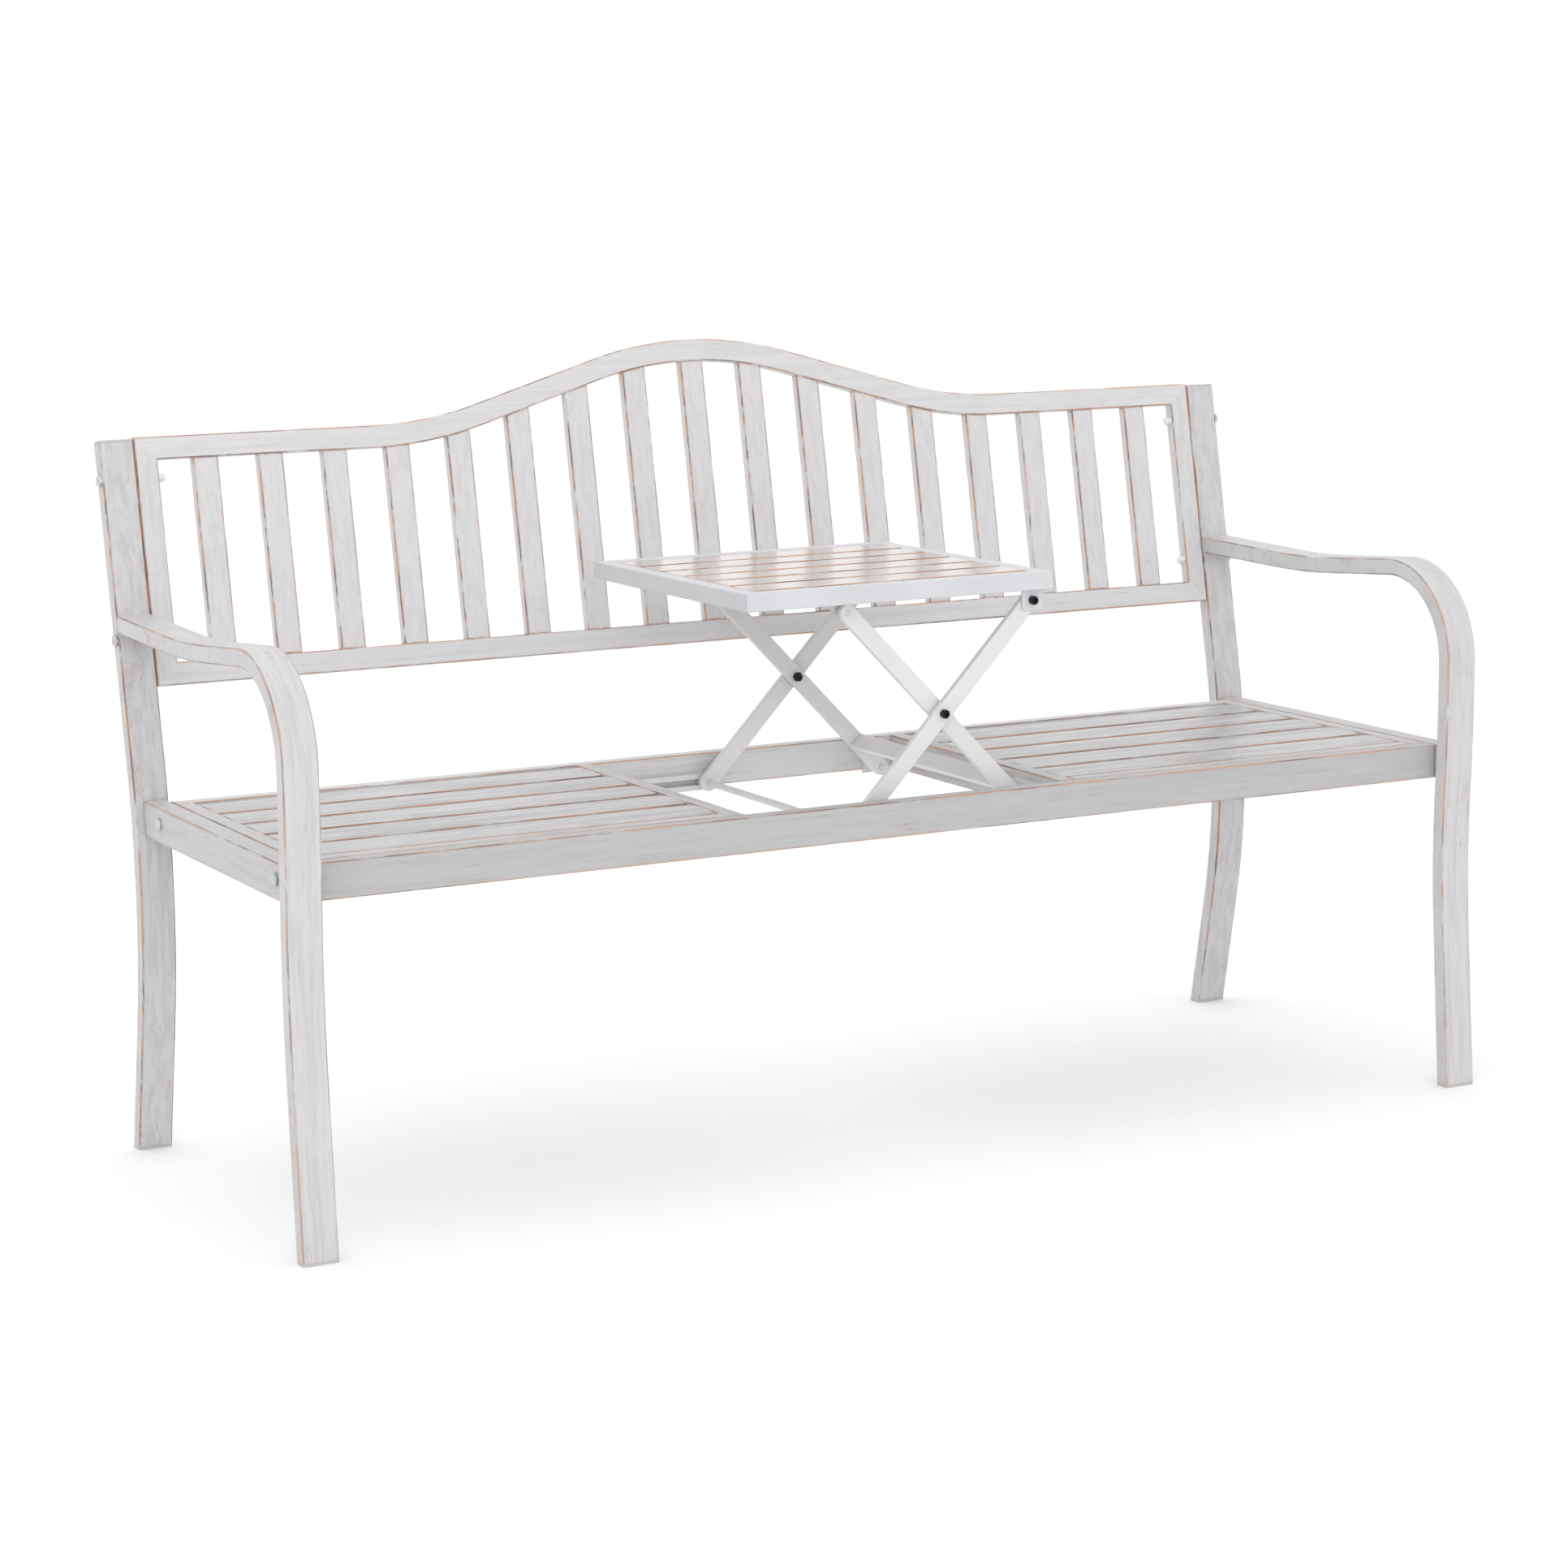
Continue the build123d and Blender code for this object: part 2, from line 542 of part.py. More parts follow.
# The bracket plate steps down under the divider and carries the stud that bar B turns on.
with BuildPart() as seat_bracket:
    bracket_step_z = SEAT_TOP - SEAT_TUBE_HEIGHT
    divider_face_x = DIVIDER_X - SEAT_TUBE_WIDTH / 2
    with BuildSketch(upright(SEAT_FRONT_Y)):
        with BuildLine():
            Polyline(
                (SEAT_BRACKET_X[0], SEAT_BRACKET_Z[0]),
                (SEAT_BRACKET_X[1], SEAT_BRACKET_Z[0]),
                (SEAT_BRACKET_X[1], bracket_step_z),
                (divider_face_x, bracket_step_z),
                (divider_face_x, SEAT_BRACKET_Z[1]),
                (SEAT_BRACKET_X[0], SEAT_BRACKET_Z[1]),
                close=True,
            )
        make_face()
    extrude(amount=-BRACKET_THICKNESS)
    rod(PIVOT_RIGHT_X, PIVOT_LOW_Z, SEAT_FRONT_Y + 1, BAR_B_INNER_Y + 2.0, PIN)
save(front_and_rear(seat_bracket), "seat_brackets")

# Bars B: hinged to the seat at the lower right, sliding under the table at the upper left.
bar_b = flat_bar(
    BAR_B_Y, -BAR_ANGLE, [(PIVOT_LEFT_X, PIVOT_HIGH_Z), (PIVOT_RIGHT_X, PIVOT_LOW_Z)]
)
save(rear_of(bar_b), "bar_b_rear")
save(bar_b, "bar_b_front")

with BuildPart() as bar_b_tie:
    with BuildSketch(upright(BAR_B_INNER_Y)):
        tie_x = PIVOT_RIGHT_X - TIE_FROM_PIVOT * cos(radians(BAR_ANGLE))
        tie_z = PIVOT_LOW_Z + TIE_FROM_PIVOT * sin(radians(BAR_ANGLE))
        with Locations((tie_x, tie_z)):
            RectangleRounded(TIE_THICKNESS, BAR_WIDTH, 1.0, rotation=-BAR_ANGLE)
            Rectangle(
                TIE_THICKNESS - 2 * TIE_WALL,
                BAR_WIDTH - 2 * TIE_WALL,
                rotation=-BAR_ANGLE,
                mode=Mode.SUBTRACT,
            )
    extrude(amount=-(LIFT_REAR_Y - 2 * BAR_B_INNER_Y))
save(bar_b_tie, "bar_b_tie")

with BuildPart() as upper_pin:
    rod(PIVOT_LEFT_X, PIVOT_HIGH_Z, BAR_B_OUTER_Y, SHOE_Y + SHOE_NECK / 2, PIN)
save(front_and_rear(upper_pin), "upper_pins")

# Sliding shoe: hangs from the channel under the table and carries bar B's upper end.
with BuildPart() as table_shoe:
    shoe_top_z = TABLE_CHANNEL_Z + SHOE_HEAD[1] / 2
    with BuildSketch(upright(SHOE_Y - SHOE_NECK / 2)):
        with Locations((PIVOT_LEFT_X, PIVOT_HIGH_Z)):
            Circle(SHOE_LENGTH / 2)
        with Locations((PIVOT_LEFT_X, (PIVOT_HIGH_Z + shoe_top_z) / 2)):
            Rectangle(SHOE_LENGTH, shoe_top_z - PIVOT_HIGH_Z)
    extrude(amount=-SHOE_NECK)
    with Locations((PIVOT_LEFT_X, SHOE_Y, TABLE_CHANNEL_Z)):
        Box(SHOE_LENGTH, *SHOE_HEAD)
    rod(PIVOT_LEFT_X, PIVOT_HIGH_Z, BAR_B_INNER_Y + 0.3, SHOE_Y, SHOE_HUB)
    rod(PIVOT_LEFT_X, PIVOT_HIGH_Z, BAR_B_INNER_Y, SHOE_Y + SHOE_NECK, PIN + 2 * PIN_CLEARANCE, Mode.SUBTRACT)
save(front_and_rear(table_shoe), "table_shoes")

# Bars A: hinged to the table at the upper right, rolling in the seat tracks at the lower left.
bar_a = flat_bar(
    BAR_A_Y, BAR_ANGLE, [(PIVOT_LEFT_X, PIVOT_LOW_Z), (PIVOT_RIGHT_X, PIVOT_HIGH_Z)]
)
save(rear_of(bar_a), "bar_a_rear")
save(bar_a, "bar_a_front")

lower_roller_y = SEAT_FRONT_Y + CHANNEL_DEPTH / 2
lower_pin_end = lower_roller_y - ROLLER_WIDTH / 2 + 0.1
with BuildPart() as lower_axle:
    rod(PIVOT_LEFT_X, PIVOT_LOW_Z, BAR_A_INNER_Y, LIFT_REAR_Y - BAR_A_INNER_Y, AXLE)
    rod(PIVOT_LEFT_X, PIVOT_LOW_Z, lower_pin_end, LIFT_REAR_Y - lower_pin_end, PIN)
save(lower_axle, "lower_axle")

lower_roller = roller(PIVOT_LEFT_X, PIVOT_LOW_Z, lower_roller_y)
save(front_and_rear(lower_roller), "lower_rollers")

with BuildPart() as axle_spacer:
    spacer_start = SEAT_FRONT_Y + CHANNEL_DEPTH + 0.5
    rod(PIVOT_LEFT_X, PIVOT_LOW_Z, spacer_start, BAR_A_OUTER_Y - 0.1, SPACER)
    bore = PIN + 2 * PIN_CLEARANCE
    rod(PIVOT_LEFT_X, PIVOT_LOW_Z, spacer_start, BAR_A_OUTER_Y, bore, Mode.SUBTRACT)
save(front_and_rear(axle_spacer), "axle_spacers")

mid_bolt = socket_bolt(
    PIVOT_MID_X, PIVOT_MID_Z, BAR_A_OUTER_Y - 0.2 - SOCKET_HEAD_HEIGHT, BAR_B_INNER_Y + NUT_HEIGHT
)
save(front_and_rear(mid_bolt), "mid_bolts")

with BuildPart() as mid_nut:
    with BuildSketch(upright(BAR_B_INNER_Y + 0.2)):
        with Locations((PIVOT_MID_X, PIVOT_MID_Z)):
            RegularPolygon(NUT_ACROSS_FLATS / 2, 6, major_radius=False)
            Circle(PIN / 2 + PIN_CLEARANCE, mode=Mode.SUBTRACT)
    extrude(amount=-NUT_HEIGHT)
save(front_and_rear(mid_nut), "mid_nuts")

top_bolt = socket_bolt(
    PIVOT_RIGHT_X, PIVOT_HIGH_Z, TABLE_BRACKET_Y - 0.2 - SOCKET_HEAD_HEIGHT, BAR_A_INNER_Y - 0.2
)
save(front_and_rear(top_bolt), "top_pivot_bolts")

# Under the table: the channels of the shoes and the brackets of bars A.
table_channel = channel(
    Plane(
        origin=(TABLE_CHANNEL_X[0], SHOE_Y, TABLE_CHANNEL_Z),
        x_dir=(0, 0, -1),
        z_dir=(1, 0, 0),
    ),
    TABLE_CHANNEL_HEIGHT, TABLE_CHANNEL_WIDTH, TABLE_CHANNEL_SLOT,
    TABLE_CHANNEL_X[1] - TABLE_CHANNEL_X[0],
)
save(front_and_rear(table_channel), "table_channels")

with BuildPart() as table_bracket:
    table_underside = TABLE_TOP - TABLE_TUBE
    bracket_low = PIVOT_HIGH_Z - TABLE_BRACKET_DROP
    with BuildSketch(upright(TABLE_BRACKET_Y)) as bracket_outline:
        with Locations((sum(TABLE_BRACKET_X) / 2, (table_underside + bracket_low) / 2)):
            Rectangle(TABLE_BRACKET_X[1] - TABLE_BRACKET_X[0], table_underside - bracket_low)
        fillet(bracket_outline.vertices().group_by(Axis.Y)[0], 4.0)
        with Locations((PIVOT_RIGHT_X, PIVOT_HIGH_Z)):
            Circle(PIN / 2 + PIN_CLEARANCE, mode=Mode.SUBTRACT)
    extrude(amount=-BRACKET_THICKNESS)
save(front_and_rear(table_bracket), "table_brackets")

# ======================= frame fasteners =======================


def pan_head_bolt(place, sign, length):
    """Bolt pointing inwards along X from a place on an outer face, in the open part."""
    with Locations(place * Location((sign * BOLT_HEAD_HEIGHT / 2, 0, 0))):
        Cylinder(BOLT_HEAD / 2, BOLT_HEAD_HEIGHT, rotation=(0, 90, 0))
    with Locations(place * Location((-sign * length / 2, 0, 0))):
        Cylinder(BOLT / 2, length, rotation=(0, 90, 0))


stile_inner_x = BACK_HALF_WIDTH - BACK_TUBE
post_bolt_length = BENCH_WIDTH / 2 - stile_inner_x + NUT_HEIGHT
side_rail_outer_x = SIDE_RAIL_X + SIDE_RAIL_WIDTH / 2

with BuildPart() as frame_bolts:
    for sign in SIDES.values():
        for up in BACK_BOLT_UP:
            head_place = BACK.location * Location((sign * BENCH_WIDTH / 2, up, -BACK_DEPTH / 2))
            pan_head_bolt(head_place, sign, post_bolt_length)
        for bolt_y in SIDE_BOLT_Y:
            pan_head_bolt(Location((sign * side_rail_outer_x, bolt_y, SIDE_BOLT_Z)), sign, 36.0)
    head_tops = [x + BOLT_HEAD_HEIGHT for x in (BENCH_WIDTH / 2, side_rail_outer_x)]
    rims = frame_bolts.edges().filter_by(GeomType.CIRCLE)
    fillet(
        [rim for rim in rims if min(abs(abs(rim.center().X) - top) for top in head_tops) < 0.01],
        1.8,
    )
save(frame_bolts, "frame_bolts")

# Domed nuts on the inner faces of the backrest stiles.
with BuildPart() as cap_nuts:
    for sign in SIDES.values():
        for up in BACK_BOLT_UP:
            seat = (BACK.location * Location((sign * stile_inner_x, up, -BACK_DEPTH / 2))).position
            nut_plane = Plane(origin=seat, x_dir=(0, 1, 0), z_dir=(-sign, 0, 0))
            with BuildSketch(nut_plane):
                RegularPolygon(NUT_ACROSS_FLATS / 2, 6, major_radius=False)
            extrude(amount=NUT_HEIGHT)
            with BuildSketch(nut_plane.offset(NUT_HEIGHT)):
                Circle(NUT_DOME_RADIUS)
            extrude(amount=NUT_DOME_HEIGHT)
            with BuildSketch(nut_plane):
                Circle(BOLT_HOLE)
            extrude(amount=NUT_HEIGHT + 0.5, mode=Mode.SUBTRACT)
    dome_x = stile_inner_x - NUT_HEIGHT - NUT_DOME_HEIGHT
    rims = cap_nuts.edges().filter_by(GeomType.CIRCLE)
    fillet([rim for rim in rims if abs(abs(rim.center().X) - dome_x) < 0.01], NUT_DOME_HEIGHT - 0.6)
save(cap_nuts, "cap_nuts")
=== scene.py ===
import math

import bpy
from mathutils import Matrix, Vector

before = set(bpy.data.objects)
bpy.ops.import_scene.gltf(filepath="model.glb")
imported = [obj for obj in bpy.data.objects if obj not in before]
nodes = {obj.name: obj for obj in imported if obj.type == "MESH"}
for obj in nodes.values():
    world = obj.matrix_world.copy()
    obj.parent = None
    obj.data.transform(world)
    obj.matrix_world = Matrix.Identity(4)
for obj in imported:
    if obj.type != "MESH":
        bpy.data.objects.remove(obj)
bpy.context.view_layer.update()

# ---------------------------------------------------------------- node helpers


class Graph:
    """Short-hand for building one material's node tree."""

    def __init__(self, name):
        self.mat = bpy.data.materials.new(name)
        self.mat.use_nodes = True
        self.tree = self.mat.node_tree
        self.shader = self.tree.nodes["Principled BSDF"]

    def node(self, kind, **settings):
        made = self.tree.nodes.new(kind)
        for key, value in settings.items():
            setattr(made, key, value)
        return made

    def link(self, source, target):
        self.tree.links.new(source, target)

    def feed(self, socket, value):
        """A number or a colour is set on the socket; anything else is linked to it."""
        if isinstance(value, (int, float, tuple)):
            socket.default_value = value
        else:
            self.link(value, socket)

    def math(self, operation, a, b=0.0, clamp=False):
        made = self.node("ShaderNodeMath", operation=operation, use_clamp=clamp)
        self.feed(made.inputs[0], a)
        self.feed(made.inputs[1], b)
        return made.outputs[0]

    def stretched(self, scale, offset=(0.0, 0.0, 0.0)):
        """Object coordinates, stretched by a scale along each axis."""
        coords = self.node("ShaderNodeTexCoord")
        mapping = self.node("ShaderNodeMapping")
        mapping.inputs["Scale"].default_value = scale
        mapping.inputs["Location"].default_value = offset
        self.link(coords.outputs["Object"], mapping.inputs["Vector"])
        return mapping.outputs["Vector"]

    def noise(self, vector, scale, detail=3.0, roughness=0.55, distortion=0.0):
        made = self.node("ShaderNodeTexNoise")
        self.link(vector, made.inputs["Vector"])
        made.inputs["Scale"].default_value = scale
        made.inputs["Detail"].default_value = detail
        made.inputs["Roughness"].default_value = roughness
        made.inputs["Distortion"].default_value = distortion
        return made.outputs["Fac"]

    def band(self, value, low, high, to_low=0.0, to_high=1.0):
        """Smooth step of value between low and high."""
        made = self.node("ShaderNodeMapRange", interpolation_type="SMOOTHSTEP")
        self.link(value, made.inputs["Value"])
        made.inputs["From Min"].default_value = low
        made.inputs["From Max"].default_value = high
        made.inputs["To Min"].default_value = to_low
        made.inputs["To Max"].default_value = to_high
        return made.outputs["Result"]

    def mix(self, factor, a, b):
        made = self.node("ShaderNodeMix", data_type="RGBA")
        self.feed(made.inputs[0], factor)
        self.feed(made.inputs[6], a)
        self.feed(made.inputs[7], b)
        return made.outputs[2]

    def bump(self, height, distance, strength=1.0, normal=None):
        made = self.node("ShaderNodeBump")
        made.inputs["Strength"].default_value = strength
        made.inputs["Distance"].default_value = distance
        self.link(height, made.inputs["Height"])
        if normal is not None:
            self.link(normal, made.inputs["Normal"])
        return made.outputs["Normal"]


def rgb(r, g, b):
    """sRGB 0-255 to the linear colour a shader takes."""
    def linear(c):
        c /= 255
        return c / 12.92 if c <= 0.04045 else ((c + 0.055) / 1.055) ** 2.4
    return (linear(r), linear(g), linear(b), 1.0)


def toned(colour, factor):
    """A linear colour made darker or lighter."""
    return tuple(min(1.0, c * factor) for c in colour[:3]) + (1.0,)


# Grain runs along one axis: fine across it, long along it.
GRAIN = {
    "x": (1.0, 22.0, 22.0),
    "y": (22.0, 1.0, 22.0),
    "z": (22.0, 22.0, 1.0),
    "bent": (22.0, 1.3, 1.3),
}

# Paints and the marks in them
PAINT = rgb(205, 204, 205)
PAINT_WARM = rgb(210, 198, 189)
PAINT_GREY = rgb(174, 173, 176)
STREAK_TAN = rgb(172, 150, 130)
STREAK_GREY = rgb(138, 134, 134)
RUB_BROWN = rgb(122, 98, 86)
RUB_ORANGE = rgb(190, 140, 102)
TABLE_WHITE = rgb(200, 201, 204)
BAR_WHITE = rgb(212, 212, 212)
TRACK_WHITE = rgb(206, 206, 208)
AXLE_WHITE = rgb(206, 206, 206)
ROLLER_WHITE = rgb(206, 206, 204)
CAP_WHITE = rgb(226, 226, 230)
PAD_GREY = rgb(186, 184, 182)
BRIGHT_PLATE = rgb(205, 205, 208)
BLACK_OXIDE = rgb(26, 26, 28)
RUBBED_EDGE = 0.0030
SOFT_EDGE = 0.0012

# Directions that every flat of a tube is square to or parallel to, so a rounded corner shows.
ALONG_BENCH = (1.0, 0.0, 0.0)
UPWARD = (0.0, 0.0, 1.0)
BACK_NORMAL = (0.0, -math.cos(math.radians(10.6)), math.sin(math.radians(10.6)))


def corner_mask(g, direction, sharp):
    """1 on and beside the rounded corners of a tube, 0 on its flats."""
    coords = g.node("ShaderNodeTexCoord")
    dot = g.node("ShaderNodeVectorMath", operation="DOT_PRODUCT")
    g.link(coords.outputs["Normal"], dot.inputs[0])
    dot.inputs[1].default_value = direction
    square = g.math("MULTIPLY", dot.outputs["Value"], dot.outputs["Value"])
    round_part = g.math("MULTIPLY", square, g.math("SUBTRACT", 1.0, square))
    on_corner = g.band(round_part, 0.02, 0.12)
    if not sharp:
        return on_corner
    bevel = g.node("ShaderNodeBevel", samples=6)
    bevel.inputs["Radius"].default_value = RUBBED_EDGE
    geometry = g.node("ShaderNodeNewGeometry")
    turn = g.node("ShaderNodeVectorMath", operation="DOT_PRODUCT")
    g.link(bevel.outputs["Normal"], turn.inputs[0])
    g.link(geometry.outputs["Normal"], turn.inputs[1])
    beside = g.band(turn.outputs["Value"], 0.93, 0.998, 1.0, 0.0)
    return g.math("MAXIMUM", on_corner, beside)


def brushed_paint(name, grain, facing, streaks, edges, patches, grey, rough=0.42, shift=0.0,
                  sharp=True, painted_light_tone=1.0, paint=PAINT):
    """Off-white paint brushed in a wood grain over brown, rubbed through along the edges, made darker as
    painted shade or lighter as painted light for each part.
    """
    g = Graph(name)
    here = (shift, shift * 0.7, shift * 1.3)
    grain_space = g.stretched(GRAIN[grain], here)
    plain_space = g.stretched((1.0, 1.0, 1.0), here)
    hair = g.noise(grain_space, 46.0, 4.0, 0.65)
    fine = g.noise(grain_space, 18.0, 5.0, 0.62)
    coarse = g.noise(grain_space, 6.5, 4.0, 0.6, 0.4)
    broad = g.noise(plain_space, 5.0, 3.0, 0.5)
    blotch = g.noise(plain_space, 19.0, 5.0, 0.62)
    speck = g.noise(plain_space, 240.0, 2.0, 0.5)

    # painted_light_tone scales this part's paint, grey, streak and tan colours: painted shade below 1,
    # painted light above 1
    # broad, faint greying, then fine grey and tan streaks where the broad noise allows them
    shade = g.math("MULTIPLY", g.band(coarse, 0.40, 0.66), grey)
    colour = g.mix(shade, toned(paint, painted_light_tone), toned(PAINT_GREY, painted_light_tone))
    allowed = g.band(broad, 0.34, 0.60, 0.25, 1.0)
    hairs = g.math("MULTIPLY", g.math("MULTIPLY", g.band(hair, 0.54, 0.72), allowed), 0.6 * streaks)
    colour = g.mix(hairs, colour, toned(STREAK_GREY, painted_light_tone))
    tan = g.math("MULTIPLY", g.band(fine, 0.55, 0.70), g.band(blotch, 0.42, 0.62))
    tan = g.math("MULTIPLY", tan, streaks)
    colour = g.mix(tan, colour, toned(STREAK_TAN, painted_light_tone))

    # rub-through: along the corners, broken up by the grain, and in a few patches
    corner = corner_mask(g, facing, sharp)
    broken = g.math("ADD", g.math("MULTIPLY", fine, 0.45), g.math("MULTIPLY", blotch, 0.55))
    rub = g.math("MULTIPLY", g.math("MULTIPLY", corner, g.band(broken, 0.38, 0.53)), edges, clamp=True)
    worn = g.math("MULTIPLY", g.band(blotch, 0.56, 0.68), g.band(hair, 0.46, 0.60))
    worn = g.math("MULTIPLY", g.math("MULTIPLY", worn, g.band(broad, 0.44, 0.60)), patches)
    rub = g.math("MAXIMUM", rub, worn, clamp=True)
    rub_colour = g.mix(g.band(coarse, 0.42, 0.58), RUB_BROWN, RUB_ORANGE)
    colour = g.mix(rub, colour, rub_colour)
    g.link(colour, g.shader.inputs["Base Color"])

    gloss = g.math("ADD", g.math("MULTIPLY", fine, 0.12), rough)
    gloss = g.math("ADD", gloss, g.math("MULTIPLY", rub, 0.15), clamp=True)
    g.link(gloss, g.shader.inputs["Roughness"])
    g.shader.inputs["Specular IOR Level"].default_value = 0.45
    relief = g.math("ADD", g.math("MULTIPLY", hair, 0.8), g.math("MULTIPLY", speck, 0.2))
    g.link(g.bump(relief, 0.0003, 0.5), g.shader.inputs["Normal"])
    return g.mat


def plain_paint(name, colour, rough=0.38):
    """Clean satin white paint with a little orange peel."""
    g = Graph(name)
    space = g.stretched((1.0, 1.0, 1.0))
    peel = g.noise(space, 380.0, 2.0, 0.5)
    cloud = g.noise(space, 9.0, 3.0, 0.5)
    darker = toned(colour, 0.93)
    g.link(g.mix(g.band(cloud, 0.35, 0.7), colour, darker), g.shader.inputs["Base Color"])
    g.link(g.math("ADD", rough, g.math("MULTIPLY", cloud, 0.08)), g.shader.inputs["Roughness"])
    bevel = g.node("ShaderNodeBevel", samples=4)
    bevel.inputs["Radius"].default_value = SOFT_EDGE
    g.link(g.bump(peel, 0.0002, 0.35, bevel.outputs["Normal"]), g.shader.inputs["Normal"])
    return g.mat


def metal(name, colour, rough, metallic=1.0):
    """Plated or blackened steel with faint turning marks."""
    g = Graph(name)
    space = g.stretched((1.0, 1.0, 1.0))
    mark = g.noise(space, 900.0, 2.0, 0.5)
    cloud = g.noise(space, 60.0, 3.0, 0.5)
    darker = toned(colour, 0.8)
    g.link(g.mix(g.band(cloud, 0.35, 0.7), colour, darker), g.shader.inputs["Base Color"])
    g.shader.inputs["Metallic"].default_value = metallic
    g.link(g.math("ADD", rough, g.math("MULTIPLY", cloud, 0.12)), g.shader.inputs["Roughness"])
    g.link(g.bump(mark, 0.00006, 0.4), g.shader.inputs["Normal"])
    return g.mat


def dress(names, mat):
    """Puts one material on CAD nodes."""
    for name in names:
        data = nodes[name].data
        data.materials.clear()
        data.materials.append(mat)


# ---------------------------------------------------------------- materials on the CAD nodes

SLATS = [f"seat_{side}_slat_{n}" for side in ("left", "right") for n in range(1, 6)]
TABLE_SLATS = [f"table_slat_{n}" for n in range(1, 7)]

ARMS = ("left_arm_leg", "right_arm_leg")
POSTS = ("left_rear_post", "right_rear_post")
# painted_light_tone per part is painted shade and painted light: darker copies of one paint on the rear
# posts, front rail, seat slats and other parts that take less light, lighter copies on the back rails and
# back slats
for number, name in enumerate(ARMS):
    dress([name], brushed_paint(f"arm_paint_{number}", "bent", ALONG_BENCH, 0.6, 0.7, 0.4, 0.4,
                                shift=1.7 * number, sharp=False, painted_light_tone=0.94))
for number, name in enumerate(POSTS):
    dress([name], brushed_paint(f"post_paint_{number}", "z", ALONG_BENCH, 0.7, 0.9, 0.5, 0.45,
                                shift=3.4 + 1.7 * number, sharp=False, painted_light_tone=0.92))
dress(["left_side_rail", "right_side_rail", "seat_left_end", "seat_right_end"],
      brushed_paint("side_rail_paint", "y", UPWARD, 0.5, 0.8, 0.25, 0.3, shift=7.1, painted_light_tone=0.86))
dress(["seat_front_rail"],
      brushed_paint("front_rail_paint", "x", UPWARD, 0.4, 1.0, 0.12, 0.25, shift=5.3, painted_light_tone=0.72))
dress(["seat_back_rail"],
      brushed_paint("back_seat_rail_paint", "x", UPWARD, 0.4, 0.9, 0.12, 0.3, shift=5.9))
dress(["seat_left_divider", "seat_right_divider"],
      brushed_paint("divider_paint", "y", UPWARD, 0.9, 1.0, 1.0, 0.8, shift=6.9, painted_light_tone=0.88))
dress(["back_top_rail", "back_bottom_rail"],
      brushed_paint("back_rail_paint", "x", BACK_NORMAL, 0.4, 0.9, 0.25, 0.25, shift=8.1, sharp=False,
                    painted_light_tone=1.04))
dress(["back_left_stile", "back_right_stile"],
      brushed_paint("stile_paint", "z", ALONG_BENCH, 0.4, 0.9, 0.25, 0.3, shift=9.7, sharp=False))
dress(["back_slats"],
      brushed_paint("back_slat_paint", "z", ALONG_BENCH, 0.3, 1.0, 0.08, 0.25, shift=10.3, painted_light_tone=1.03))
dress(SLATS + ["seat_front_strips"],
      brushed_paint("seat_slat_paint", "x", UPWARD, 0.9, 1.0, 0.7, 1.0, 0.28, shift=11.3, painted_light_tone=0.82))
dress(TABLE_SLATS,
      brushed_paint("table_slat_paint", "x", UPWARD, 0.9, 1.0, 0.7, 0.7, 0.05, shift=13.9, painted_light_tone=0.9,
                    paint=PAINT_WARM))

dress(["table_front_rail", "table_back_rail", "table_left_end", "table_right_end",
       "table_channels", "table_brackets"],
      plain_paint("table_white", TABLE_WHITE))
dress(["bar_a_front", "bar_a_rear", "bar_b_front", "bar_b_rear", "bar_b_tie"],
      plain_paint("bar_white", BAR_WHITE))
dress(["seat_tracks", "seat_brackets"], plain_paint("track_white", TRACK_WHITE))
dress(["lower_axle", "axle_spacers", "upper_pins"], plain_paint("axle_white", AXLE_WHITE))
dress(["table_shoes", "lower_rollers"], plain_paint("roller_plastic", ROLLER_WHITE, 0.5))
dress(["cap_nuts"], plain_paint("cap_plastic", CAP_WHITE, 0.3))
dress(["foot_caps", "post_caps"], plain_paint("pad_plastic", PAD_GREY, 0.55))
dress(["frame_bolts"], metal("bright_plate", BRIGHT_PLATE, 0.18))
dress(["mid_bolts", "mid_nuts", "top_pivot_bolts"], metal("black_oxide", BLACK_OXIDE, 0.38, 0.6))

# ---------------------------------------------------------------- floor, light, camera


def floor(half):
    """A pale square floor reaching this far on each side of the bench."""
    data = bpy.data.meshes.new("floor")
    corners = [(-half, -half, 0), (half, -half, 0), (half, half, 0), (-half, half, 0)]
    data.from_pydata(corners, [], [(0, 1, 2, 3)])
    plane = bpy.data.objects.new("floor", data)
    bpy.context.scene.collection.objects.link(plane)
    g = Graph("floor_white")
    cloud = g.noise(g.stretched((1.0, 1.0, 1.0)), 2.0)
    g.link(g.mix(cloud, rgb(252, 252, 252), rgb(249, 249, 249)), g.shader.inputs["Base Color"])
    g.shader.inputs["Roughness"].default_value = 0.9
    g.shader.inputs["Specular IOR Level"].default_value = 0.1
    data.materials.append(g.mat)


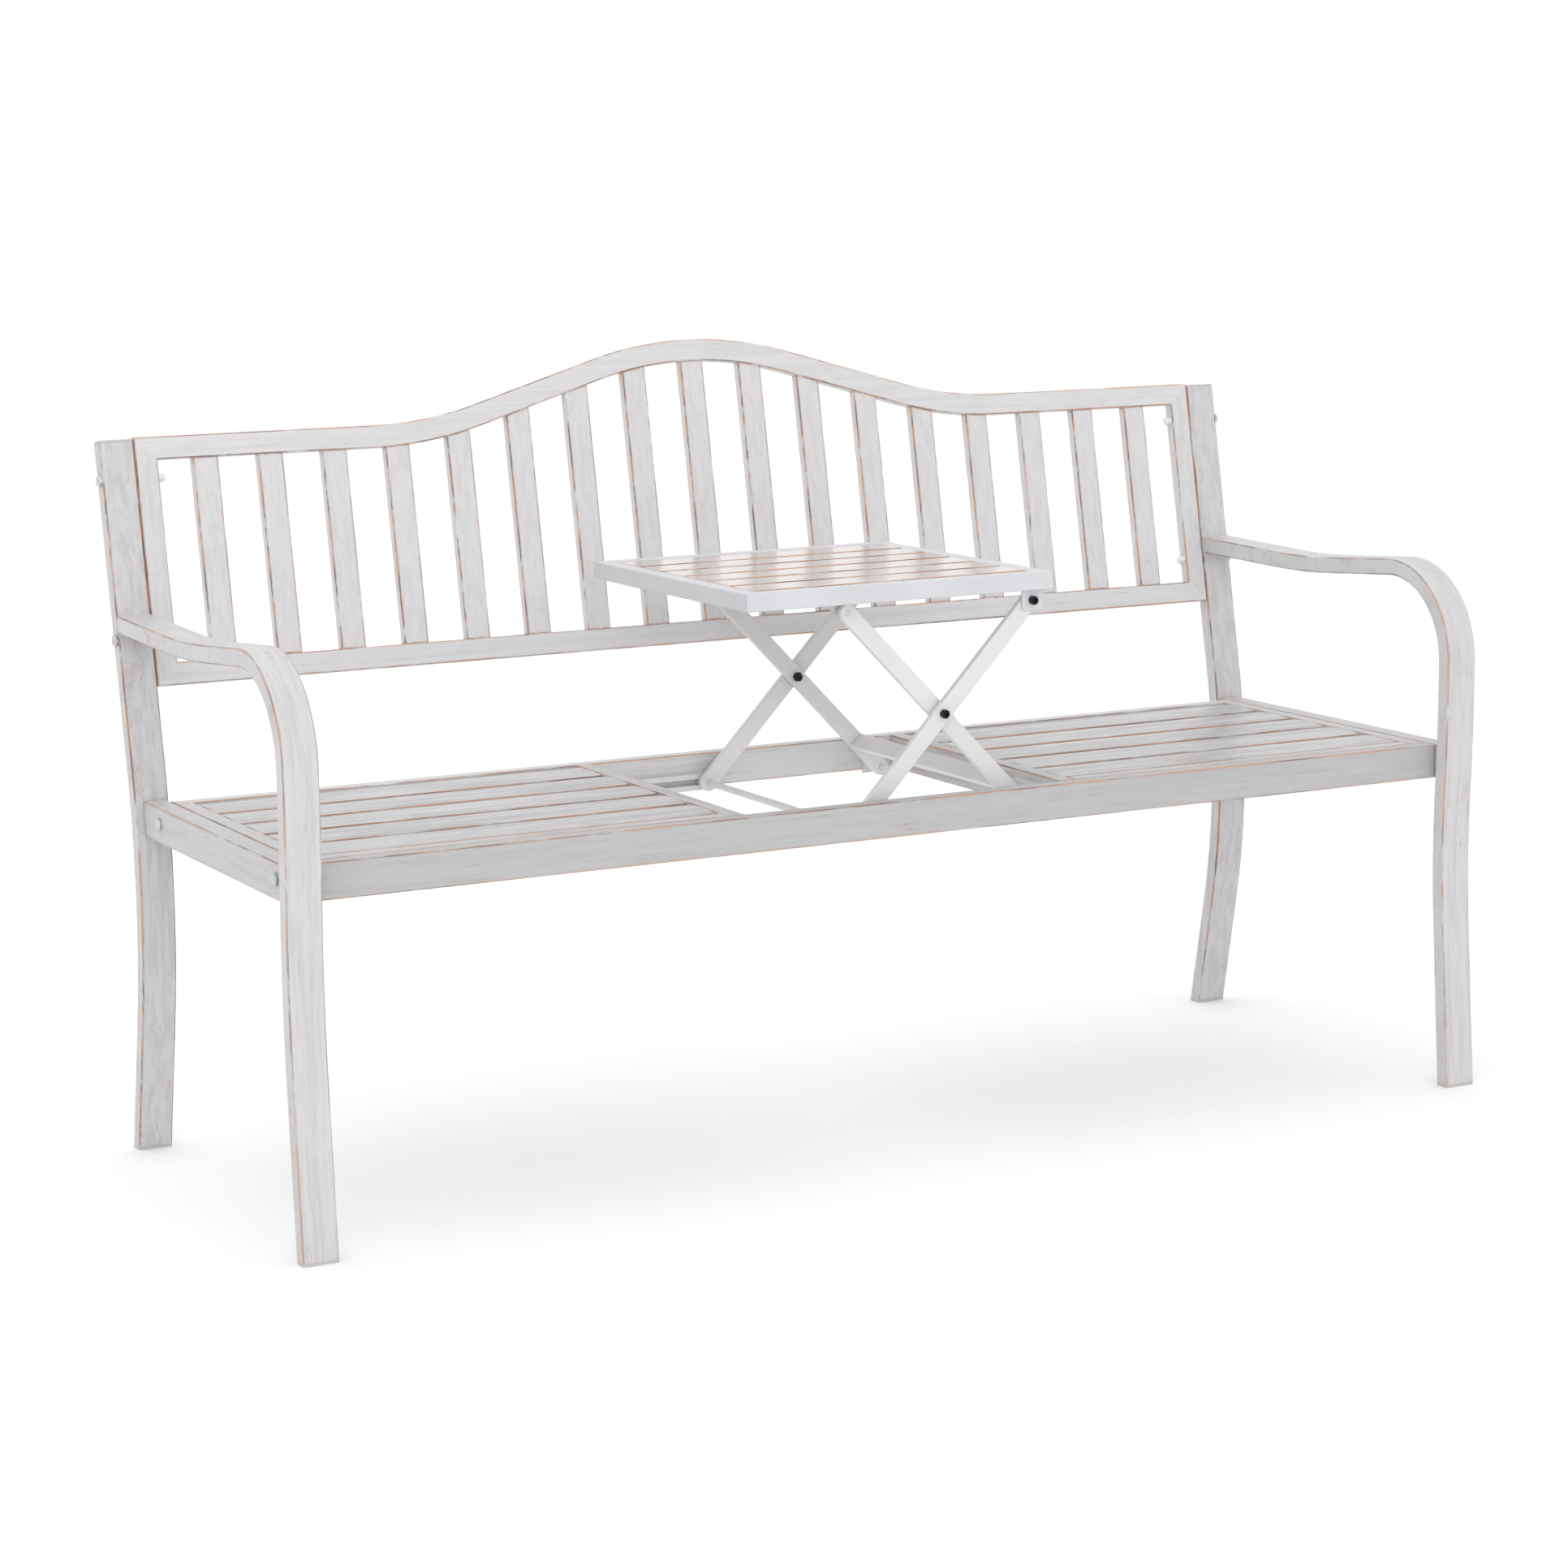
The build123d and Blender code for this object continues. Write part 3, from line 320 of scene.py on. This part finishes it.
def area_light(name, place, aim, size, power):
    """A soft rectangular lamp pointed at a spot."""
    lamp = bpy.data.lights.new(name, "AREA")
    lamp.shape = "RECTANGLE"
    lamp.size, lamp.size_y = size
    lamp.energy = power
    thing = bpy.data.objects.new(name, lamp)
    thing.location = place
    thing.rotation_euler = (Vector(aim) - Vector(place)).to_track_quat("-Z", "Y").to_euler()
    bpy.context.scene.collection.objects.link(thing)


floor(14.0)
MIDDLE = (0.0, 0.0, 0.4)
area_light("key", (-2.6, -3.4, 3.6), MIDDLE, (2.2, 1.8), 20)
area_light("front", (-0.9, -4.6, 1.3), (0.0, 0.0, 0.5), (2.6, 1.6), 26)
area_light("fill", (3.6, -3.2, 2.2), MIDDLE, (3.0, 2.4), 2)
area_light("top", (0.0, 0.6, 4.2), MIDDLE, (4.0, 3.0), 24)
area_light("back", (1.0, 4.2, 2.4), (0.0, 0.0, 0.6), (4.0, 2.0), 8)

world = bpy.data.worlds.new("studio")
world.use_nodes = True
background = world.node_tree.nodes["Background"]
background.inputs["Color"].default_value = (1.0, 1.0, 1.0, 1.0)
background.inputs["Strength"].default_value = 1.04
bpy.context.scene.world = world

# Camera to the left of and above the bench, solved from its known corners. Metres and radians.
CAMERA_PLACE = (-2.05617, -3.8895, 1.14567)
YAW, PITCH, ROLL = 0.480689, 0.169260, -0.0142587
FIELD = 0.405588


def camera():
    """Looks along yaw and pitch, with a slight roll."""
    forward = Vector((math.sin(YAW) * math.cos(PITCH), math.cos(YAW) * math.cos(PITCH), -math.sin(PITCH)))
    right = forward.cross(Vector((0, 0, 1))).normalized()
    up = right.cross(forward)
    right_rolled = math.cos(ROLL) * right + math.sin(ROLL) * up
    up_rolled = -math.sin(ROLL) * right + math.cos(ROLL) * up
    data = bpy.data.cameras.new("camera")
    data.angle = FIELD
    data.clip_end = 100.0
    made = bpy.data.objects.new("camera", data)
    turn = Matrix((right_rolled, up_rolled, -forward)).transposed().to_4x4()
    made.matrix_world = Matrix.Translation(CAMERA_PLACE) @ turn
    bpy.context.scene.collection.objects.link(made)
    bpy.context.scene.camera = made


camera()
bpy.context.scene.view_settings.view_transform = "Standard"
